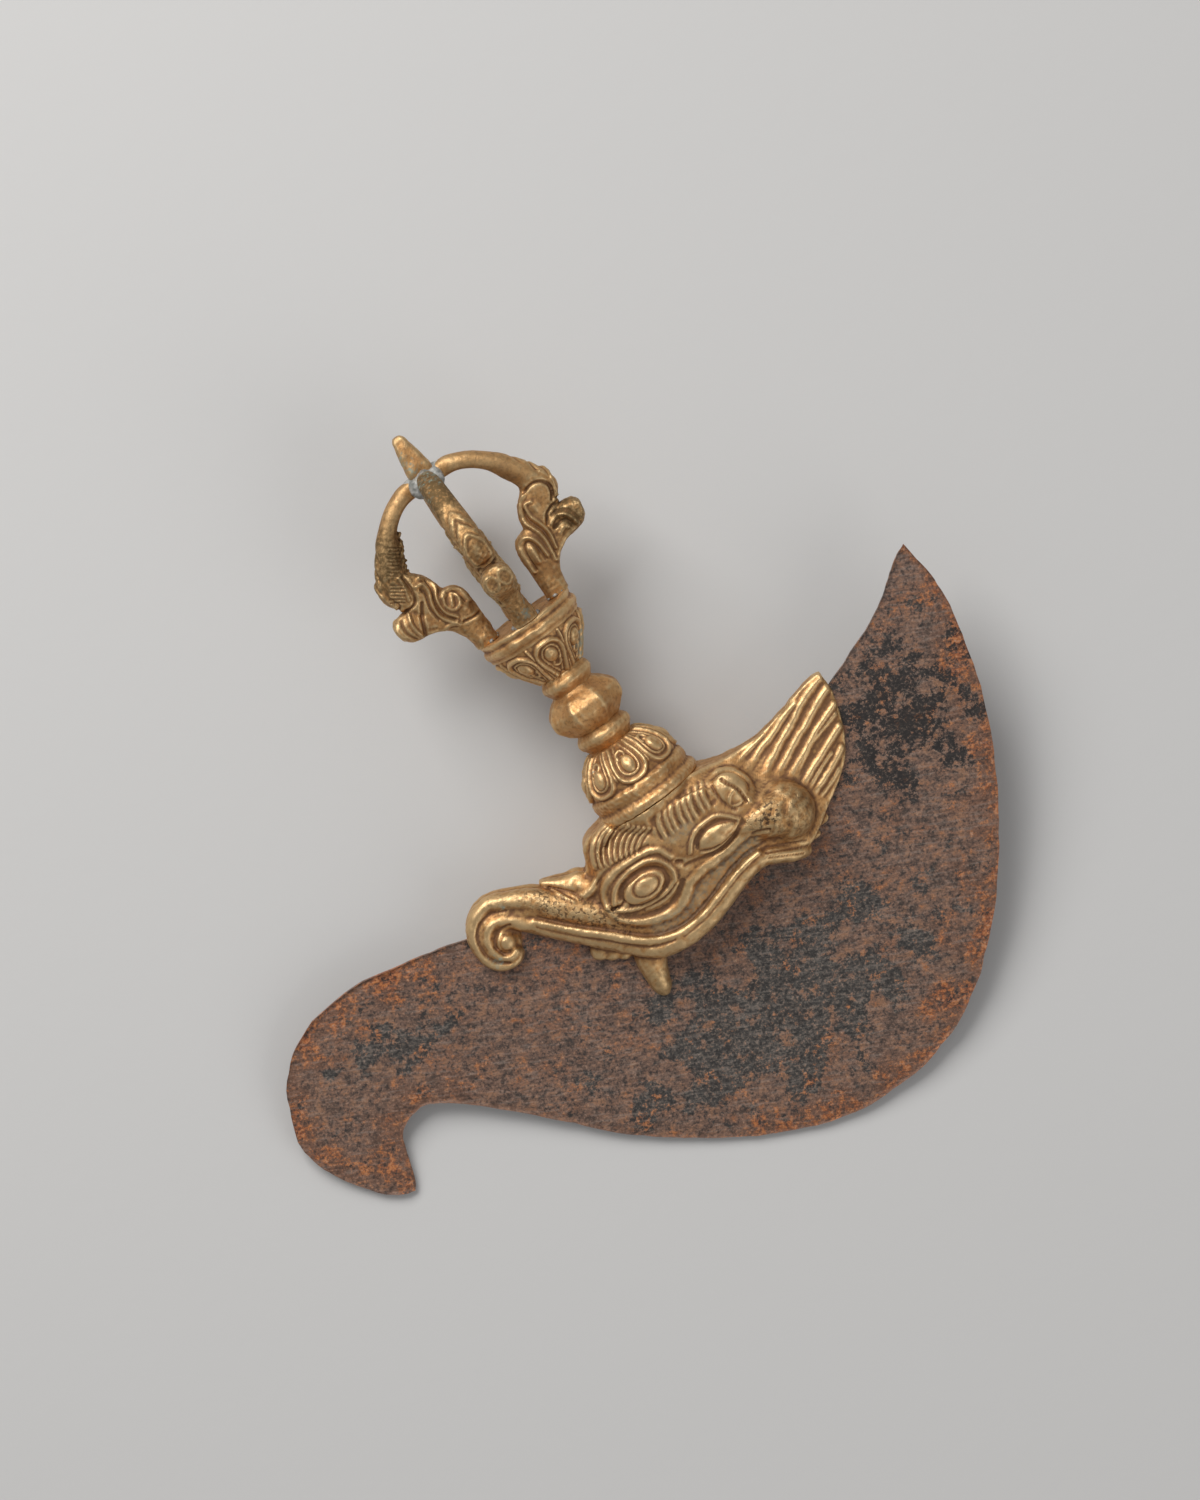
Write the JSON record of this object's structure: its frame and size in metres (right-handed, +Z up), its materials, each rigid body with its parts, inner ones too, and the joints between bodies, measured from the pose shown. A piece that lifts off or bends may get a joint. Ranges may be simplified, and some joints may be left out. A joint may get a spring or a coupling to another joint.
{
  "type": "kartika chopper",
  "caption": "Hand-held ritual chopper: a crescent iron blade with a horn and a hook, held in a brass sea-monster head, with a beaded lotus stem and an open pronged finial.",
  "frame": {"origin": "middle of the footprint's box, on the table that the chopper lies on", "axes": "+X across the blade, from the hook towards the horn; +Y up the handle, from the belly of the blade to the spike; +Z up from the table"},
  "size_m": [0.1691, 0.1638, 0.0442],
  "materials": {
    "iron": "forged iron plate, rusted brown with darker patches",
    "brass": "worn cast brass with dark patina in the recesses",
    "solder": "dull grey-white soft solder"
  },
  "bodies": {
    "root": {"blade": "iron", "makara_head": "brass", "lotus_bell": "brass", "lower_collar": "brass", "grip_bulb": "brass", "upper_collar": "brass", "lotus_cup": "brass", "rim_band": "brass", "prong_right": "brass", "prong_front": "brass", "prong_left": "brass", "prong_back": "brass", "centre_spike": "brass", "tip_solder": "solder", "foot_solder": "solder"}
  },
  "joints": []
}
